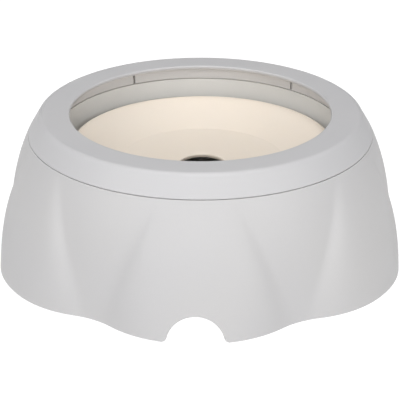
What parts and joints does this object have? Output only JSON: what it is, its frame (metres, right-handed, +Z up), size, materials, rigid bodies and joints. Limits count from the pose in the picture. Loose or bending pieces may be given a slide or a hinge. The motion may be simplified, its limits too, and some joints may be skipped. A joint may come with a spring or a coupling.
{
  "type": "pet water bowl with floating disc",
  "caption": "Round no-spill pet water bowl: lobed flared skirt with a finger notch, basin, splash ring and a dished floating disc with a centre hole.",
  "frame": {"origin": "on the surface that the bowl stands on, under the middle of the bowl", "axes": "+Z up, -Y towards the front, where the finger notch is"},
  "size_m": [0.246, 0.2585, 0.0918],
  "materials": {
    "skirt_plastic": "pale grey moulded plastic, satin",
    "ring_plastic": "pale cool grey moulded plastic, satin",
    "basin_plastic": "grey moulded plastic, satin",
    "float_plastic": "cream moulded plastic, soft satin",
    "pad_rubber": "dark grey non-slip rubber, matte"
  },
  "bodies": {
    "base": {"skirt": "skirt_plastic", "foot_pad_1": "pad_rubber", "foot_pad_2": "pad_rubber", "foot_pad_3": "pad_rubber", "foot_pad_4": "pad_rubber", "foot_pad_5": "pad_rubber", "foot_pad_6": "pad_rubber"},
    "tank": {"basin": "basin_plastic"},
    "cover": {"splash_ring": "ring_plastic"},
    "float": {"float_disc": "float_plastic"}
  },
  "joints": [
    {"name": "basin_lift", "type": "slide", "parent": "base", "child": "tank", "axis": [0, 0, 1], "range_m": [0, 0.085]},
    {"name": "ring_lift", "type": "slide", "parent": "tank", "child": "cover", "axis": [0, 0, 1], "range_m": [0, 0.04]},
    {"name": "float_rise", "type": "slide", "parent": "tank", "child": "float", "axis": [0, 0, 1], "range_m": [0, 0.017]}
  ]
}
